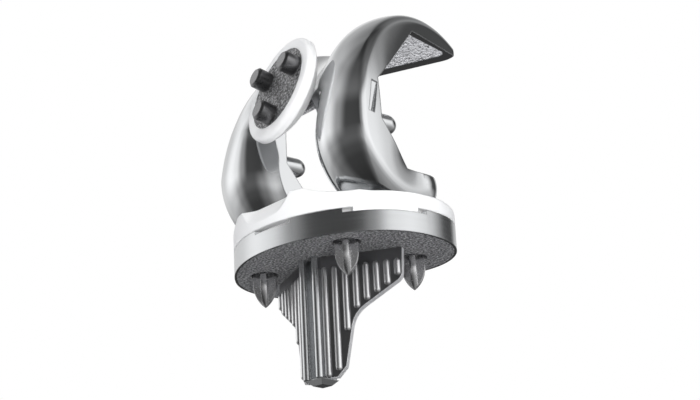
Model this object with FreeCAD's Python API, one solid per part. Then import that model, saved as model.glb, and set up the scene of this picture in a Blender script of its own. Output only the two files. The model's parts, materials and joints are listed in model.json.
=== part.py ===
import FreeCAD, Part
import math
import os

# Total knee replacement: a porous keeled tibial tray, a snap-in polyethylene insert, a femoral
# component and a metal-backed patella. Lengths are in millimetres and angles in degrees.
# Origin: middle of the tray's bone face. +Z points up the leg, -Y to the front, +X to the outside.
# The knee is drawn bent to a right angle.

Vector = FreeCAD.Vector

# How far cutting blocks run past a face, and how far they reach when they go right through
cut_past = 1.0
beyond = 60.0

# Tibial tray
tray_half_width = 38.0
tray_front_depth = 29.9
tray_back_depth = 26.0
tray_front_turn = 45.0
tray_side_turn = 12.0
back_notch_radius = 18.0
tray_wall_height = 7.45
tray_floor_height = 3.2
tray_wall = 2.2
window_floor_height = 6.2
front_window_angles = (-97.0, -68.5)
side_window_angles = (-38.0, 2.4)
island_half_width = 9.0
island_front = 13.0
island_back = 17.0
island_height = 2.0
island_corner = 3.0

# Porous coat on the bone face of the tray
coat_thickness = 0.8
coat_inset = 0.8
peg_pocket_radius = 4.3

# Cross-shaped tray pegs
tray_peg_length = 10.2
tray_peg_straight = 3.1
tray_peg_span = 7.2
tray_peg_fin = 1.9
tray_peg_turn = 45.0
front_peg_place = (19.9, 14.3)
back_peg_place = (18.0, 13.1)

# Keel
keel_turn = 7.5
keel_front = 13.8
keel_length = 38.5
keel_middle = -0.6
column_width = 6.8
column_depth = 7.4
column_round = 1.6
column_groove_width = 2.6
column_groove_depth = 2.6
column_bar_radius = 1.15
column_bar_spacing = 2.55
keel_cap_length = 1.6
keel_cap_end_width = 3.7
keel_cap_end_depth = 4.1
wing_sweep = 27.5
wing_back = 1.4
wing_span = 28.3
wing_thickness = 2.8
wing_root_overlap = 0.6
wing_tip_height = 9.1
wing_tip_slope = 0.6
wing_tip_round = 3.0
wing_waist = 12.6
wing_waist_height = 18.2
wing_waist_round = 9.0
wing_foot = 9.5
wing_foot_height = 34.0
wing_foot_round = 2.0
wing_heel = 6.8
rib_radius = 0.9
rib_pitch = 3.2
rib_count = 8
rib_first = 4.1
rib_top_depth = 3.4

# Polyethylene insert
insert_gap = 0.15
insert_lip_height = 15.6
insert_side_height = 12.0
insert_back_height = 10.0
lip_end = -25.5
lip_round = 6.0
lip_slope_end = -15.5
lip_slope_round = 12.0
side_end = 8.0
side_round = 20.0
tab_angles = (-33.0, -2.4)
dish_spacing = 23.0
dish_height = 8.9
dish_long_radius = 78.0
dish_cross_radius = 24.0
scoop_half_width = 8.0
scoop_floor_height = 9.8
scoop_flare = 6.5
scoop_round = 5.0
scoop_slope = 55.0
scoop_lead = 4.0
tongue_depth = 0.8
tongue_height = 1.2
tongue_base = 4.4
tongue_angles = (42.0, 72.0)

# Locking wire in the front edge of the insert
wire_radius = 0.55
wire_height = 5.0
wire_half_turn = 27.0

# Femoral component: sagittal path
knee_axis = (2.1, 34.0)
condyle_radius = 25.0
tip_radius = 9.0
tip_start_angle = -108.0
trochlea_axis_y = 20.9
groove_radius = 39.3
groove_dip = 9.5
tip_dip = 4.2
groove_dip_angle = 26.0
crest_rise = 1.6
crest_rise_angle = 48.0
crest_depth = 6.1
crest_fade_angle = 166.0
flange_end_angle = 118.0
skin_depth = 15.2
back_section_count = 6
front_section_angles = (0.0, 8.0, 16.0, 22.0, 27.0, 32.0, 40.0, 48.0, 60.0, 72.0, 84.0, 96.0)

# Femoral component: cross sections
groove_shift = 2.0
valley_radius = 26.5
crest_spacing = 23.0
crest_narrowing = 0.0765
condyle_side_radius = 20.0
condyle_inner_radius = 13.4
ridge_radius = 4.5
femur_half_width = 35.5
femur_back_half_width = 32.6
flange_narrowing = 13.1
flange_width_angle = 101.0
edge_round = 3.2

# Femoral component: bone cuts
back_cut_height = 21.4
back_chamfer_end = -0.6
back_chamfer_top = 34.6
front_chamfer_base = 47.5
distal_cut = -11.2
front_cut = 70.0
front_chamfer_end = 9.7
notch_half_width = 10.4
notch_roof = 52.5
notch_round = 9.5
flange_tip = (23.2, 37.0)
flange_tip_round = 7.0
flange_low_corner = (-26.4, 14.6)
flange_low_round = 9.0
flange_side_start = -20.0
flange_lateral_side = 37.2
flange_medial_side = -31.4
flange_trim_start = (12.0, 58.0)
lining_recess = 1.2
lining_thickness = 1.0
lining_rim = 3.0
lining_back_end = 11.5
lining_corner_gap = 1.0

# Femoral pegs
femur_peg_spacing = 22.4
femur_peg_height = 39.0
femur_peg_radius = 3.2
femur_peg_tip = 4.7
femur_peg_tip_radius = 1.0
femur_peg_nose = 3.7
femur_peg_stud_radius = 2.4
femur_peg_stud = 4.0

# Extraction slots in the outer sides of the femoral component
slot_length = 10.5
slot_width = 2.2
slot_depth = 1.3
slot_height = 41.0
slot_front = -14.0
slot_lean = 12.0

# Patella
patella_radius = 17.2
patella_thickness = 9.5
patella_dome_radius = 25.5
patella_gap = 0.3
patella_angle = 19.8
patella_lean = 15.7
patella_tilt = 6.6
patella_roll = 4.2
patella_rim_round = 1.4
backing_radius = 13.4
backing_depth = 1.8
patella_peg_radius = 3.2
patella_peg_length = 4.9
patella_peg_circle = 9.5
patella_peg_foot = 1.0
patella_peg_foot_radius = 3.5
patella_peg_chamfer = 0.7
patella_peg_angles = {"lateral": 30.0, "medial": 150.0, "lower": 270.0}


def save(name, shape):
    shape.exportStep(os.path.join("parts", name + ".step"))


def rounded_wire(corners, place):
    """A closed wire through corners given as (u, v, radius), each rounded by its radius."""
    edges = []
    ends = []
    count = len(corners)
    for i in range(count):
        u, v, radius = corners[i]
        before = Vector(corners[i - 1][0] - u, corners[i - 1][1] - v, 0)
        after = Vector(corners[(i + 1) % count][0] - u, corners[(i + 1) % count][1] - v, 0)
        before.normalize()
        after.normalize()
        corner = Vector(u, v, 0)
        if radius <= 0:
            ends.append((corner, corner, corner))
            continue
        half = before.getAngle(after) / 2
        reach = radius / math.tan(half)
        middle = (before + after).normalize() * (radius / math.sin(half))
        centre = corner + middle
        nearest = centre - middle.normalize() * radius
        ends.append((corner + before * reach, nearest, corner + after * reach))
    for i in range(count):
        start, middle, end = ends[i]
        if corners[i][2] > 0:
            edges.append(Part.Arc(place(start), place(middle), place(end)).toShape())
        following = ends[(i + 1) % count][0]
        if (following - end).Length > 1e-6:
            edges.append(Part.makeLine(place(end), place(following)))
    return Part.Wire(edges)


def flat(height):
    return lambda p: Vector(p.x, p.y, height)


def side(x):
    return lambda p: Vector(x, p.x, p.y)


def prism(wire, direction):
    return Part.Face(wire).extrude(direction)


def side_prism(corners, low, high):
    """A solid across X, from its side profile of (y, z, radius) corners."""
    return prism(rounded_wire(corners, side(low)), Vector(high - low, 0, 0))


def moved_in(corners, inset):
    """An outline of (u, v, radius) corners, against the clock, with every side moved inwards."""
    moved = []
    for i in range(len(corners)):
        u, v, radius = corners[i]
        following = corners[(i + 1) % len(corners)]
        before = Vector(u - corners[i - 1][0], v - corners[i - 1][1], 0).normalize()
        after = Vector(following[0] - u, following[1] - v, 0).normalize()
        inwards = Vector(-before.y - after.y, before.x + after.x, 0)
        step = inwards * (inset / (1 + before.dot(after)))
        moved.append((u + step.x, v + step.y, max(radius - inset, 0)))
    return moved


def nose_arc(radius, start, end_radius, end, place):
    """The arc of a peg's nose: it leaves the straight side smoothly and stops at end_radius."""
    width = radius - end_radius
    length = end - start
    bend = (width ** 2 + length ** 2) / (2 * width)
    half_turn = math.atan2(abs(length), bend - width) / 2
    reach = math.copysign(bend * math.sin(half_turn), length)
    middle = place(radius - bend + bend * math.cos(half_turn), start + reach)
    return Part.Arc(place(radius, start), middle, place(end_radius, end)).toShape()


def front_arc():
    """Centre height and radius of the tray's front arc, and radius of the arcs beside it."""
    c = math.cos(math.radians(tray_front_turn))
    s = math.sin(math.radians(tray_front_turn))
    front = (tray_half_width * c - tray_front_depth * (1 - s)) / (s * c - (1 - s) * (1 - c))
    beside = (tray_front_depth - front * (1 - c)) / c
    return front - tray_front_depth, front, beside


def tray_arcs(inset):
    """Start, middle and end points of the tangent arcs of the tray's outer side, front to back."""
    rise, front, beside = front_arc()
    turn = math.radians(tray_front_turn)
    side_turn = math.radians(tray_side_turn)
    lobe = (tray_back_depth - tray_half_width * math.sin(side_turn)) / (1 - math.sin(side_turn))
    lobe_x = (tray_half_width - lobe) * math.cos(side_turn)
    lobe_y = (tray_half_width - lobe) * math.sin(side_turn)
    notch_turn = math.asin(lobe_x / (lobe + back_notch_radius))
    notch_y = lobe_y + (lobe + back_notch_radius) * math.cos(notch_turn)
    quarter = math.pi / 2
    arcs = [
        (0, rise, front - inset, -quarter, turn - quarter),
        (tray_half_width - beside, 0, beside - inset, turn - quarter, 0),
        (0, 0, tray_half_width - inset, 0, side_turn),
        (lobe_x, lobe_y, lobe - inset, side_turn, quarter + notch_turn),
        (0, notch_y, back_notch_radius + inset, notch_turn - quarter, -quarter),
    ]
    points = []
    for x, y, radius, start, end in arcs:
        trio = []
        for angle in (start, (start + end) / 2, end):
            trio.append(Vector(x + radius * math.cos(angle), y + radius * math.sin(angle), 0))
        points.append(trio)
    return points


def tray_curve(inset, height):
    """The tray's closed outline, moved inwards by inset."""
    edges = []
    for hand in (1, -1):
        for trio in tray_arcs(inset):
            places = [Vector(hand * p.x, p.y, height) for p in trio]
            edges.append(Part.Arc(*places).toShape())
    return Part.Wire(Part.__sortEdges__(edges))


def tray_block(inset, low, high):
    return prism(tray_curve(inset, low), Vector(0, 0, high - low))


def sector(angles, low, high):
    """A wedge about the origin between two angles."""
    reach = 2 * tray_half_width
    corners = [Vector(0, 0, low)]
    for angle in angles:
        corners.append(Vector(math.cos(math.radians(angle)), math.sin(math.radians(angle)), 0) * reach)
        corners[-1].z = low
    corners.append(corners[0])
    return prism(Part.makePolygon(corners), Vector(0, 0, high - low))


def mirrored(shape):
    return shape.mirror(Vector(0, 0, 0), Vector(1, 0, 0))


def island(gap):
    """The raised key in the middle of the tray floor, grown by gap."""
    half = island_half_width + gap
    corners = [
        (-half, -island_front - gap, island_corner),
        (half, -island_front - gap, island_corner),
        (half, island_back + gap, island_corner),
        (-half, island_back + gap, island_corner),
    ]
    wire = rounded_wire(corners, flat(tray_floor_height))
    return prism(wire, Vector(0, 0, island_height + gap))


def locking_ledge(inset):
    """Band along the back of the tray wall that the insert's tongues reach under."""
    band = tray_block(inset, tongue_base, tongue_base + tongue_height)
    core = tray_block(tray_wall + cut_past, tongue_base - cut_past, tongue_base + tongue_height + cut_past)
    band = band.cut(core)
    left = sector((180 - tongue_angles[1], 180 - tongue_angles[0]), 0, tray_wall_height)
    right = sector(tongue_angles, 0, tray_wall_height)
    return band.common(left).fuse(band.common(right))


def wire_body():
    """The locking wire: a round bow along the joint between the tray wall and the insert."""
    rise, front, beside = front_arc()
    start = math.radians(-90 - wire_half_turn)
    reach = front - tray_wall - insert_gap / 2
    across = Vector(-math.sin(start), math.cos(start), 0)
    place = Vector(reach * math.cos(start), rise + reach * math.sin(start), wire_height)
    ring = Part.Face(Part.Wire([Part.makeCircle(wire_radius, place, across)]))
    return ring.revolve(Vector(0, rise, 0), Vector(0, 0, 1), 2 * wire_half_turn)


def peg_places():
    fx, fy = front_peg_place
    bx, by = back_peg_place
    return {
        "tray_peg_front_lateral": (fx, -fy),
        "tray_peg_front_medial": (-fx, -fy),
        "tray_peg_back_lateral": (bx, by),
        "tray_peg_back_medial": (-bx, by),
    }


def tibial_tray():
    tray = tray_block(0, 0, tray_wall_height)
    top = tray_wall_height + cut_past
    pocket = tray_block(tray_wall, tray_floor_height, top)
    tray = tray.cut(pocket.cut(island(0)))
    windows = [sector(front_window_angles, window_floor_height, top)]
    windows.append(sector(side_window_angles, window_floor_height, top))
    windows.append(mirrored(windows[-1]))
    for window in windows:
        tray = tray.cut(window)
    tray = tray.cut(tray_block(coat_inset, -cut_past, coat_thickness))
    tray = tray.cut(locking_ledge(tray_wall - tongue_depth))
    return tray.cut(wire_body()).removeSplitter()


def porous_coat():
    coat = tray_block(coat_inset, 0, coat_thickness)
    for x, y in peg_places().values():
        pocket = Part.makeCylinder(peg_pocket_radius, coat_thickness, Vector(x, y, 0))
        coat = coat.cut(pocket)
    coat = coat.cut(keel_column())
    for wing in (keel_wing(1), keel_wing(-1)):
        coat = coat.cut(wing)
    return coat


def tray_peg(x, y):
    """A peg of two crossed fins, drawn to a point, that stands on the tray's underside."""
    top = coat_thickness
    height = tray_peg_length + top
    half = tray_peg_span / 2
    low = -tray_peg_length
    fins = Part.makeBox(tray_peg_span, tray_peg_fin, height, Vector(-half, -tray_peg_fin / 2, low))
    other = Part.makeBox(tray_peg_fin, tray_peg_span, height, Vector(-tray_peg_fin / 2, -half, low))
    fins = fins.fuse(other)
    tip = Vector(0, 0, low)
    shoulder = Vector(half, 0, -tray_peg_straight)
    edges = [
        nose_arc(half, -tray_peg_straight, 0, low, lambda u, v: Vector(u, 0, v)),
        Part.makeLine(shoulder, Vector(half, 0, top)),
        Part.makeLine(Vector(half, 0, top), Vector(0, 0, top)),
        Part.makeLine(Vector(0, 0, top), tip),
    ]
    bullet = Part.Face(Part.Wire(edges)).revolve(Vector(0, 0, 0), Vector(0, 0, 1), 360)
    peg = fins.common(bullet).removeSplitter()
    peg.rotate(Vector(0, 0, 0), Vector(0, 0, 1), tray_peg_turn)
    peg.translate(Vector(x, y, 0))
    return peg


def turn_keel(shape):
    shape.translate(Vector(keel_middle, 0, 0))
    shape.rotate(Vector(0, 0, 0), Vector(0, 0, 1), keel_turn)
    return shape


def keel_column():
    """The keel's spine, with a deep front groove between two round bars."""
    half = column_width / 2
    low = -keel_length + keel_cap_length
    corners = [
        (-half, -keel_front, 0),
        (half, -keel_front, 0),
        (half, -keel_front + column_depth, column_round),
        (-half, -keel_front + column_depth, column_round),
    ]
    column = prism(rounded_wire(corners, flat(low)), Vector(0, 0, coat_thickness - low))
    groove = Part.makeBox(
        column_groove_width,
        column_groove_depth + cut_past,
        keel_length + 2 * cut_past,
        Vector(-column_groove_width / 2, -keel_front - cut_past, -keel_length - cut_past),
    )
    column = column.cut(groove)
    for x in (-column_bar_spacing, column_bar_spacing):
        place = Vector(x, -keel_front, low)
        column = column.fuse(Part.makeCylinder(column_bar_radius, coat_thickness - low, place))
    return turn_keel(column.removeSplitter())


def keel_cap():
    """The chamfered foot that closes the keel's spine."""
    half = column_width / 2
    low = -keel_length + keel_cap_length
    top = [
        Vector(-half, -keel_front, low),
        Vector(half, -keel_front, low),
        Vector(half, -keel_front + column_depth, low),
        Vector(-half, -keel_front + column_depth, low),
    ]
    middle = -keel_front + column_depth / 2
    end = keel_cap_end_width / 2
    bottom = [
        Vector(-end, middle - keel_cap_end_depth / 2, -keel_length),
        Vector(end, middle - keel_cap_end_depth / 2, -keel_length),
        Vector(end, middle + keel_cap_end_depth / 2, -keel_length),
        Vector(-end, middle + keel_cap_end_depth / 2, -keel_length),
    ]
    wires = []
    for ring in (bottom, top):
        wires.append(Part.makePolygon(ring + [ring[0]]))
    return turn_keel(Part.makeLoft(wires, True, True))


def keel_wing(hand):
    """One swept wing of the keel, with ribs on both faces that end at its curved lower edge."""
    root = column_width / 2 - wing_root_overlap
    top = coat_thickness
    half = wing_thickness / 2
    low = -keel_length + keel_cap_length
    corners = [
        (root, top, 0),
        (wing_span, top, 0),
        (wing_span - wing_tip_slope, -wing_tip_height, wing_tip_round),
        (wing_waist, -wing_waist_height, wing_waist_round),
        (wing_foot, -wing_foot_height, wing_foot_round),
        (wing_heel, low, 0),
        (root, low, 0),
    ]
    outline_wire = rounded_wire(corners, lambda p: Vector(p.x, 0, p.y))
    plate = Part.Face(outline_wire)
    plate.translate(Vector(0, -half, 0))
    wing = plate.extrude(Vector(0, wing_thickness, 0))
    outline = Part.Face(outline_wire)
    outline.translate(Vector(0, -wing_thickness, 0))
    reach = outline.extrude(Vector(0, 2 * wing_thickness, 0))
    for i in range(rib_count):
        x = rib_first + rib_pitch * i
        for y in (-half, half):
            rib = Part.makeCylinder(rib_radius, keel_length, Vector(x, y, -keel_length - rib_top_depth))
            rib = rib.fuse(Part.makeSphere(rib_radius, Vector(x, y, -rib_top_depth)))
            wing = wing.fuse(rib.common(reach))
    pivot = Vector(0, -keel_front + wing_back, 0)
    wing.translate(pivot)
    wing.rotate(pivot, Vector(0, 0, 1), wing_sweep)
    if hand < 0:
        wing = mirrored(wing)
    wing = turn_keel(wing)
    return wing.cut(keel_column())


def tibial_insert():
    """The dished bearing, with a lower part in the tray and an upper part level with its wall."""
    top = insert_lip_height + cut_past
    shoulder = tray_wall_height + cut_past
    upper = tray_block(0, tray_wall_height + insert_gap, top)
    insert = upper.fuse(tray_block(tray_wall + insert_gap, tray_floor_height, shoulder))
    tab = sector(tab_angles, window_floor_height, shoulder)
    ring = tray_block(0, window_floor_height, shoulder)
    insert = insert.fuse(ring.common(tab)).fuse(ring.common(mirrored(tab)))
    insert = insert.fuse(locking_ledge(tray_wall - tongue_depth + insert_gap))
    insert = insert.cut(island(insert_gap))
    front = -tray_front_depth - cut_past
    back = tray_back_depth + cut_past
    brow = [
        (front, insert_lip_height, 0),
        (lip_end, insert_lip_height, lip_round),
        (lip_slope_end, insert_side_height, lip_slope_round),
        (side_end, insert_side_height, side_round),
        (back, insert_back_height, 0),
        (back, top + cut_past, 0),
        (front, top + cut_past, 0),
    ]
    insert = insert.cut(side_prism(brow, -beyond, beyond))
    axis_height = dish_height + dish_long_radius
    for x in (-dish_spacing, dish_spacing):
        centre = Vector(x, knee_axis[0], axis_height)
        dish = Part.makeTorus(
            dish_long_radius - dish_cross_radius, dish_cross_radius, centre, Vector(1, 0, 0)
        )
        insert = insert.cut(dish)
    insert = insert.cut(tendon_scoop())
    return insert.cut(wire_body()).removeSplitter()


def tendon_scoop():
    """The hollow in the middle of the front lip that clears the patellar tendon."""
    steep = math.tan(math.radians(scoop_slope))
    low = scoop_floor_height - scoop_lead * steep
    rise = insert_lip_height - scoop_floor_height
    wide = scoop_half_width + 2 * scoop_flare
    corners = [
        (-scoop_half_width, low, scoop_round),
        (scoop_half_width, low, scoop_round),
        (wide, low + 2 * rise, 0),
        (-wide, low + 2 * rise, 0),
    ]
    start = -tray_front_depth - scoop_lead
    wire = rounded_wire(corners, lambda p: Vector(p.x, start, p.y))
    return prism(wire, Vector(0, 1, steep) * (2 * scoop_lead + rise))


def crest_radius_at(angle):
    """Distance of the ridge tops from the trochlea's axis."""
    low = groove_radius + crest_depth - crest_rise
    if angle < 0:
        return low
    if angle < crest_rise_angle:
        return low + crest_rise * (1 - math.cos(math.pi * angle / crest_rise_angle)) / 2
    share = (angle - crest_rise_angle) / (crest_fade_angle - crest_rise_angle)
    fade = (1 + math.cos(math.pi * share)) / 2
    return groove_radius + crest_depth * fade


def groove_radius_at(angle):
    """Distance of the groove's floor from that axis; it dips where it runs out into the notch."""
    if angle < 0:
        share = min(1.0, angle / tip_start_angle)
        return groove_radius - groove_dip + (groove_dip - tip_dip) * share
    share = min(1.0, angle / groove_dip_angle)
    return groove_radius - groove_dip * (1 + math.cos(math.pi * share)) / 2


def half_width_at(angle):
    """Half of the component's width, which narrows to the back and up the flange."""
    if angle < 0:
        share = min(1.0, angle / tip_start_angle)
        return femur_half_width - (femur_half_width - femur_back_half_width) * share ** 2
    turn = math.pi / 2 * angle / flange_width_angle
    return femur_half_width - flange_narrowing * (1 - math.cos(turn))


def section_points(angle, depth):
    """Corners and arc middles of one cross section, as (x, height below the ridge tops)."""
    drop = crest_radius_at(angle) - groove_radius_at(angle)
    share = min(1.0, max(0.0, angle / groove_dip_angle))
    shift = groove_shift * share
    span = crest_spacing - crest_narrowing * max(angle, 0)
    lean = 2 * math.atan(drop / span)
    both = span / math.sin(lean)
    tightest = condyle_inner_radius + (ridge_radius - condyle_inner_radius) * share
    valley = min(valley_radius, both - tightest)
    ridge = both - valley
    joint = valley * math.sin(lean)

    def height(x):
        if x <= joint:
            return -drop + valley - math.sqrt(valley ** 2 - x ** 2)
        if x <= span:
            return -ridge + math.sqrt(ridge ** 2 - (span - x) ** 2)
        return -condyle_side_radius + math.sqrt(condyle_side_radius ** 2 - (x - span) ** 2)

    sides = []
    for hand in (1, -1):
        width = half_width_at(angle) - hand * shift
        centre_x = width - edge_round
        inner = condyle_side_radius - edge_round
        centre_z = -condyle_side_radius + math.sqrt(inner ** 2 - (centre_x - span) ** 2)
        scale = condyle_side_radius / inner
        touch_z = -condyle_side_radius + (centre_z + condyle_side_radius) * scale
        touch = (span + (centre_x - span) * scale, touch_z)
        start = math.atan2(touch[1] - centre_z, touch[0] - centre_x)
        middle = (centre_x + edge_round * math.cos(start / 2), centre_z + edge_round * math.sin(start / 2))
        half_way = (span + touch[0]) / 2
        points = [
            (width, -depth),
            (width, centre_z),
            middle,
            touch,
            (half_way, height(half_way)),
            (span, 0.0),
            ((span + joint) / 2, height((span + joint) / 2)),
            (joint, height(joint)),
        ]
        sides.append([(shift + hand * x, z) for x, z in points])
    return sides[0], (shift, -drop), sides[1]


def section_wire(angle, depth, axis, radius):
    """A cross section at an angle about an axis, with its ridge tops at the given radius."""
    c = -math.cos(math.radians(angle))
    s = math.sin(math.radians(angle))

    def place(point):
        reach = radius + point[1]
        return Vector(point[0], axis[0] + reach * c, axis[1] + reach * s)

    right, groove, left = section_points(angle, depth)
    r = [place(p) for p in right]
    q = [place(p) for p in left]
    edges = [Part.makeLine(r[0], r[1])]
    edges.append(Part.Arc(r[1], r[2], r[3]).toShape())
    edges.append(Part.Arc(r[3], r[4], r[5]).toShape())
    edges.append(Part.Arc(r[5], r[6], r[7]).toShape())
    edges.append(Part.Arc(r[7], place(groove), q[7]).toShape())
    edges.append(Part.Arc(q[7], q[6], q[5]).toShape())
    edges.append(Part.Arc(q[5], q[4], q[3]).toShape())
    edges.append(Part.Arc(q[3], q[2], q[1]).toShape())
    edges.append(Part.makeLine(q[1], q[0]))
    edges.append(Part.makeLine(q[0], r[0]))
    return Part.Wire(edges)


def tip_axis():
    """Axis of the small arc that rolls in the back ends of the condyles."""
    reach = condyle_radius - tip_radius
    turn = math.radians(tip_start_angle)
    return (knee_axis[0] - reach * math.cos(turn), knee_axis[1] + reach * math.sin(turn))


def femur_skin():
    """The outer form: one loft over condyles, trochlea and flange, and the rolled back ends."""
    wires = []
    for i in range(back_section_count):
        angle = tip_start_angle * (back_section_count - i) / back_section_count
        wires.append(section_wire(angle, skin_depth, knee_axis, condyle_radius))
    trochlea_axis = (trochlea_axis_y, knee_axis[1])
    for angle in front_section_angles + (flange_end_angle,):
        wires.append(section_wire(angle, skin_depth, trochlea_axis, crest_radius_at(angle)))
    skin = Part.makeLoft(wires, True, False)
    end = Part.Face(section_wire(tip_start_angle, tip_radius, tip_axis(), tip_radius))
    pivot = Vector(0, tip_axis()[0], tip_axis()[1])
    tip = end.revolve(pivot, Vector(1, 0, 0), 180)
    return skin.fuse(tip)


def bone_profile(offset):
    """Side profile of the five bone cuts, moved into the metal by offset."""
    slope_back = math.atan2(back_chamfer_top - back_cut_height, back_chamfer_end - distal_cut)
    slope_front = math.atan2(front_cut - front_chamfer_base, front_chamfer_end - distal_cut)
    low = back_cut_height - offset
    front = distal_cut - offset
    high = front_cut + offset
    return [
        (beyond, low, 0),
        (back_chamfer_end - offset * math.tan(slope_back / 2), low, 0),
        (front, back_chamfer_top - offset * math.tan((math.pi / 2 - slope_back) / 2), 0),
        (front, front_chamfer_base + offset * math.tan((math.pi / 2 - slope_front) / 2), 0),
        (front_chamfer_end - offset * math.tan(slope_front / 2), high, 0),
        (beyond, high, 0),
    ]


def notch():
    """The gap between the condyles, with a round roof."""
    half = notch_half_width
    corners = [
        (-half, 0, 0),
        (half, 0, 0),
        (half, notch_roof, notch_round),
        (-half, notch_roof, notch_round),
    ]
    wire = rounded_wire(corners, lambda p: Vector(p.x, -beyond, p.y))
    return prism(wire, Vector(0, 2 * beyond, 0))


def flange_plan(inset):
    """Plan of the flange's free end, which slopes up to the outer side."""
    corners = [
        (flange_medial_side, flange_side_start, 0),
        (flange_lateral_side, flange_side_start, 0),
        (*flange_tip, flange_tip_round),
        (*flange_low_corner, flange_low_round),
    ]
    return moved_in(corners, inset)


def flange_trim():
    """What is cut away round the flange's free end."""
    start, low = flange_trim_start
    block = Part.makeBox(2 * beyond, beyond, beyond, Vector(-beyond, start, low))
    keep = prism(rounded_wire(flange_plan(0), flat(low - cut_past)), Vector(0, 0, beyond + 2 * cut_past))
    return block.cut(keep)


def lining(low, high, faces):
    """Porous layer in the pocket of the bone side, between two X limits, kept inside faces."""
    outer = side_prism(bone_profile(lining_recess), low, high)
    inner = side_prism(bone_profile(lining_recess - lining_thickness), low - cut_past, high + cut_past)
    return outer.cut(inner).common(faces)


def pocket(low, high, faces):
    return side_prism(bone_profile(lining_recess), low, high).common(faces)


def lining_zones():
    """Where the pockets lie: name, X limits and the solid that bounds each."""
    inner = notch_half_width + lining_rim
    outer = femur_back_half_width - lining_rim
    split = back_cut_height + lining_corner_gap
    zones = []
    deep = beyond + lining_back_end
    condyle = Part.makeBox(2 * beyond, deep, front_chamfer_base - split, Vector(-beyond, -beyond, split))
    back = Part.makeBox(2 * beyond, deep, beyond, Vector(-beyond, -beyond, split - beyond))
    for name, low, high in (("lateral", inner, outer), ("medial", -outer, -inner)):
        zones.append(("femoral_lining_distal_" + name, low, high, condyle))
        zones.append(("femoral_lining_back_" + name, low, high, back))
    plan = prism(rounded_wire(flange_plan(lining_rim), flat(front_chamfer_base)), Vector(0, 0, beyond))
    zones.append(("femoral_lining_front", -outer, outer, plan))
    return zones


def femur_peg(hand):
    """Bullet-nosed peg with a stud that screws into the condyle."""
    base = distal_cut - lining_recess + lining_thickness
    tip = femur_peg_tip
    shoulder = tip - femur_peg_nose
    points = [
        Vector(femur_peg_tip_radius, tip, 0),
        Vector(0, tip, 0),
        Vector(0, base - femur_peg_stud, 0),
        Vector(femur_peg_stud_radius, base - femur_peg_stud, 0),
        Vector(femur_peg_stud_radius, base, 0),
        Vector(femur_peg_radius, base, 0),
        Vector(femur_peg_radius, shoulder, 0),
    ]
    edges = [nose_arc(femur_peg_radius, shoulder, femur_peg_tip_radius, tip, lambda u, v: Vector(u, v, 0))]
    for i in range(len(points) - 1):
        edges.append(Part.makeLine(points[i], points[i + 1]))
    edges = Part.__sortEdges__(edges)
    peg = Part.Face(Part.Wire(edges)).revolve(Vector(0, 0, 0), Vector(0, 1, 0), 360)
    peg.translate(Vector(hand * femur_peg_spacing, 0, femur_peg_height))
    return peg


def extraction_slot(hand):
    """Shallow slot in the outer side that takes the driver's jaw."""
    long_half = slot_length / 2
    half = slot_width / 2
    box = Part.makeBox(beyond, slot_width, slot_length, Vector(0, -half, -long_half))
    place = math.degrees(math.atan2(slot_height - knee_axis[1], trochlea_axis_y - slot_front))
    width = half_width_at(place)
    box.rotate(Vector(0, 0, 0), Vector(1, 0, 0), -slot_lean)
    box.translate(Vector(width - slot_depth, slot_front, slot_height))
    if hand < 0:
        box = mirrored(box)
    return box


def femoral_component():
    body = femur_skin()
    body = body.cut(side_prism(bone_profile(0), -beyond, beyond))
    body = body.cut(notch())
    body = body.cut(flange_trim())
    for name, low, high, zone in lining_zones():
        body = body.cut(pocket(low, high, zone))
    for hand in (1, -1):
        body = body.cut(femur_peg(hand))
        body = body.cut(extraction_slot(hand))
    return body.removeSplitter()


def patella_frame():
    """Placement of the patella: its back face's middle, with local +Z out along its pegs."""
    lean = math.radians(patella_lean)
    tilt = math.radians(patella_tilt)
    up = Vector(0, math.sin(lean), math.cos(lean))
    out = Vector(0, -math.cos(lean), math.sin(lean)) * math.cos(tilt) - Vector(1, 0, 0) * math.sin(tilt)
    across = up.cross(out)
    turn = math.radians(patella_angle)
    reach = groove_radius + patella_gap + patella_dome_radius
    middle = Vector(
        groove_shift, trochlea_axis_y - reach * math.cos(turn), knee_axis[1] + reach * math.sin(turn)
    )
    back = middle - out * (patella_dome_radius - patella_thickness)
    spin = FreeCAD.Rotation(Vector(0, 0, 1), -patella_roll)
    return FreeCAD.Placement(back, FreeCAD.Rotation(across, up, out, "XYZ") * spin)


def placed_on_patella(shape):
    shape.Placement = patella_frame()
    return shape


def patella_dome():
    """Polyethylene dome with a rounded rim and a seat for its metal back."""
    sagitta = patella_dome_radius - math.sqrt(patella_dome_radius ** 2 - patella_radius ** 2)
    rim = patella_thickness - sagitta
    middle = patella_radius / 2
    half_drop = patella_dome_radius - math.sqrt(patella_dome_radius ** 2 - middle ** 2)
    r = patella_rim_round
    q = r * (1 - math.sqrt(0.5))
    apex = Vector(0, 0, -patella_thickness)
    bulge = Vector(middle, 0, half_drop - patella_thickness)
    edges = [
        Part.Arc(apex, bulge, Vector(patella_radius, 0, -rim)).toShape(),
        Part.makeLine(Vector(patella_radius, 0, -rim), Vector(patella_radius, 0, -r)),
        Part.Arc(
            Vector(patella_radius, 0, -r), Vector(patella_radius - q, 0, -q), Vector(patella_radius - r, 0, 0)
        ).toShape(),
        Part.makeLine(Vector(patella_radius - r, 0, 0), Vector(backing_radius, 0, 0)),
        Part.makeLine(Vector(backing_radius, 0, 0), Vector(backing_radius, 0, -backing_depth)),
        Part.makeLine(Vector(backing_radius, 0, -backing_depth), Vector(0, 0, -backing_depth)),
        Part.makeLine(Vector(0, 0, -backing_depth), apex),
    ]
    dome = Part.Face(Part.Wire(edges)).revolve(Vector(0, 0, 0), Vector(0, 0, 1), 360)
    return placed_on_patella(dome)


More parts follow.
